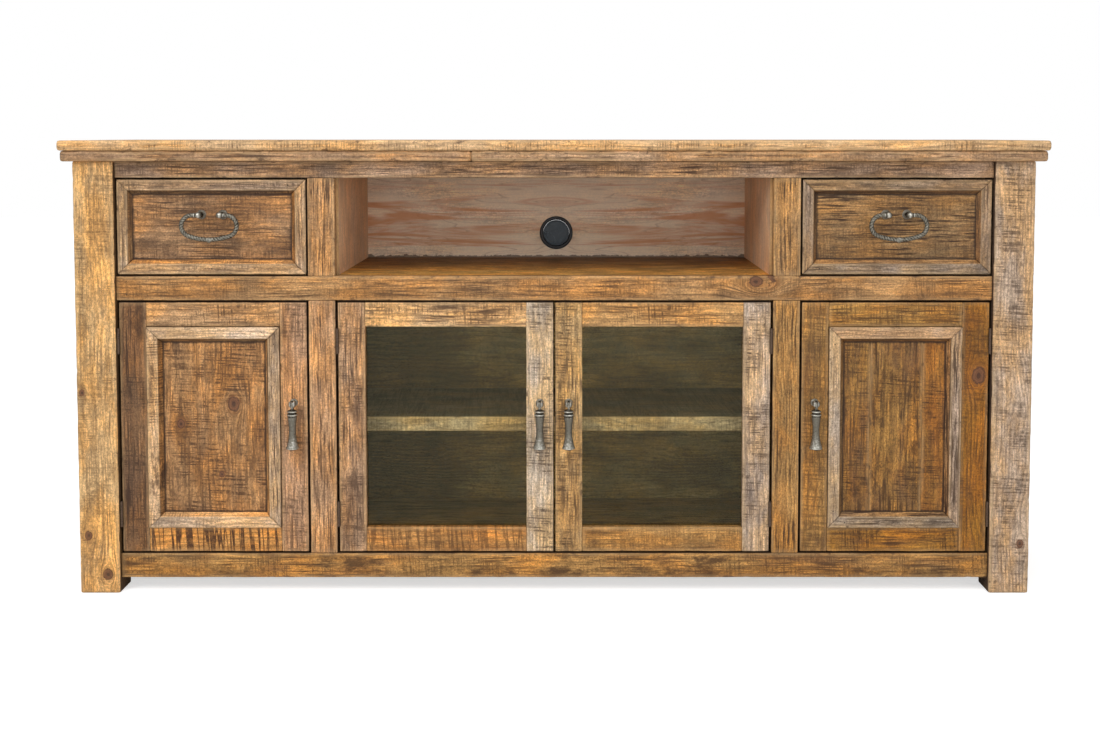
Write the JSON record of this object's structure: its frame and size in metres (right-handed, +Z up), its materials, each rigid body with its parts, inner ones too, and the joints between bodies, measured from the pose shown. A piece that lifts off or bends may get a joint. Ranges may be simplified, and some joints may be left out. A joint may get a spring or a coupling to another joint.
{
  "type": "tv stand",
  "caption": "Long rustic pine tv stand: an open cubby between drawers above, panelled and glazed doors over shelves below, and a cable port in the back.",
  "frame": {"origin": "middle of the footprint, on the floor the legs stand on", "axes": "+X to the right as seen from the front, +Y to the back, +Z up; the doors and drawers face -Y"},
  "size_m": [1.93, 0.46, 0.9],
  "materials": {
    "pine_top": "rough-sawn pine, pale worn edges, low sheen",
    "pine_leg": "rough-sawn pine, pale and greyish, low sheen",
    "pine_frame": "rough-sawn pine, honey brown with dark saw marks",
    "pine_panel": "rough-sawn pine with knots, darker brown",
    "pine_moulding": "pale worn pine with nail holes",
    "pine_inside": "plain brown pine, low sheen",
    "glass": "clear, faint grey-green",
    "pewter": "antique pewter, worn bright on the high spots",
    "bronze": "dark bronze",
    "pin_steel": "plain steel",
    "black_plastic": "black, semi-gloss"
  },
  "bodies": {
    "cabinet": {"top_panel": "pine_top", "top_edge_strips": "pine_top", "front_legs": "pine_leg", "rear_legs": "pine_leg", "top_rail": "pine_frame", "middle_rail": "pine_frame", "bottom_rail": "pine_frame", "frame_uprights": "pine_frame", "side_rails": "pine_frame", "side_panels": "pine_panel", "rear_rails": "pine_inside", "deck_panel": "pine_inside", "floor_panel": "pine_inside", "back_panels": "pine_inside", "cubby_sides": "pine_inside", "partitions": "pine_inside", "center_shelf": "pine_inside", "side_shelves": "pine_inside", "shelf_pins": "pin_steel", "drawer_runners": "pine_inside", "door_catches": "bronze", "jamb_hinge_leaves": "bronze", "hinge_pins": "bronze", "cable_sleeve": "black_plastic"},
    "port_cap": {"cable_cap": "black_plastic"},
    "left_door": {"door_left_frame": "pine_frame", "door_left_panel": "pine_panel", "door_left_moulding": "pine_moulding", "door_left_hardware": "bronze", "door_left_pull_post": "pewter"},
    "left_drop": {"door_left_pull_drop": "pewter"},
    "left_glass_door": {"glass_door_left_frame": "pine_frame", "glass_door_left_pane": "glass", "glass_door_left_beads": "pine_inside", "glass_door_left_hardware": "bronze", "glass_door_left_pull_post": "pewter"},
    "left_glass_drop": {"glass_door_left_pull_drop": "pewter"},
    "right_glass_door": {"glass_door_right_frame": "pine_frame", "glass_door_right_pane": "glass", "glass_door_right_beads": "pine_inside", "glass_door_right_hardware": "bronze", "glass_door_right_pull_post": "pewter"},
    "right_glass_drop": {"glass_door_right_pull_drop": "pewter"},
    "right_door": {"door_right_frame": "pine_frame", "door_right_panel": "pine_panel", "door_right_moulding": "pine_moulding", "door_right_hardware": "bronze", "door_right_pull_post": "pewter"},
    "right_drop": {"door_right_pull_drop": "pewter"},
    "left_drawer": {"drawer_left_front": "pine_panel", "drawer_left_moulding": "pine_moulding", "drawer_left_box": "pine_inside", "drawer_left_pull_posts": "pewter"},
    "left_bail": {"drawer_left_bail": "pewter"},
    "right_drawer": {"drawer_right_front": "pine_panel", "drawer_right_moulding": "pine_moulding", "drawer_right_box": "pine_inside", "drawer_right_pull_posts": "pewter"},
    "right_bail": {"drawer_right_bail": "pewter"}
  },
  "joints": [
    {"name": "left_door_hinge", "type": "hinge", "parent": "cabinet", "child": "left_door", "pos_m": [-0.8606, -0.2014, 0.331], "axis": [0, 0, -1], "range_deg": [0, 110]},
    {"name": "left_glass_door_hinge", "type": "hinge", "parent": "cabinet", "child": "left_glass_door", "pos_m": [-0.4286, -0.2014, 0.331], "axis": [0, 0, -1], "range_deg": [0, 110]},
    {"name": "right_glass_door_hinge", "type": "hinge", "parent": "cabinet", "child": "right_glass_door", "pos_m": [0.4286, -0.2014, 0.331], "axis": [0, 0, 1], "range_deg": [0, 110]},
    {"name": "right_door_hinge", "type": "hinge", "parent": "cabinet", "child": "right_door", "pos_m": [0.8606, -0.2014, 0.331], "axis": [0, 0, 1], "range_deg": [0, 110]},
    {"name": "left_drop_pivot", "type": "hinge", "parent": "left_door", "child": "left_drop", "pos_m": [-0.516, -0.216, 0.381], "axis": [-1, 0, 0], "range_deg": [-3, 100]},
    {"name": "left_glass_drop_pivot", "type": "hinge", "parent": "left_glass_door", "child": "left_glass_drop", "pos_m": [-0.0285, -0.216, 0.381], "axis": [-1, 0, 0], "range_deg": [-3, 100]},
    {"name": "right_glass_drop_pivot", "type": "hinge", "parent": "right_glass_door", "child": "right_glass_drop", "pos_m": [0.0285, -0.216, 0.381], "axis": [-1, 0, 0], "range_deg": [-3, 100]},
    {"name": "right_drop_pivot", "type": "hinge", "parent": "right_door", "child": "right_drop", "pos_m": [0.516, -0.216, 0.381], "axis": [-1, 0, 0], "range_deg": [-3, 100]},
    {"name": "left_drawer_slide", "type": "slide", "parent": "cabinet", "child": "left_drawer", "axis": [0, -1, 0], "range_m": [0, 0.3]},
    {"name": "left_bail_pivot", "type": "hinge", "parent": "left_drawer", "child": "left_bail", "pos_m": [-0.675, -0.214, 0.7553], "axis": [-1, 0, 0], "range_deg": [-20, 100]},
    {"name": "right_drawer_slide", "type": "slide", "parent": "cabinet", "child": "right_drawer", "axis": [0, -1, 0], "range_m": [0, 0.3]},
    {"name": "right_bail_pivot", "type": "hinge", "parent": "right_drawer", "child": "right_bail", "pos_m": [0.675, -0.214, 0.7553], "axis": [-1, 0, 0], "range_deg": [-20, 100]},
    {"name": "port_cap_pull", "type": "slide", "parent": "cabinet", "child": "port_cap", "axis": [0, -1, 0], "range_m": [0, 0.06]}
  ]
}
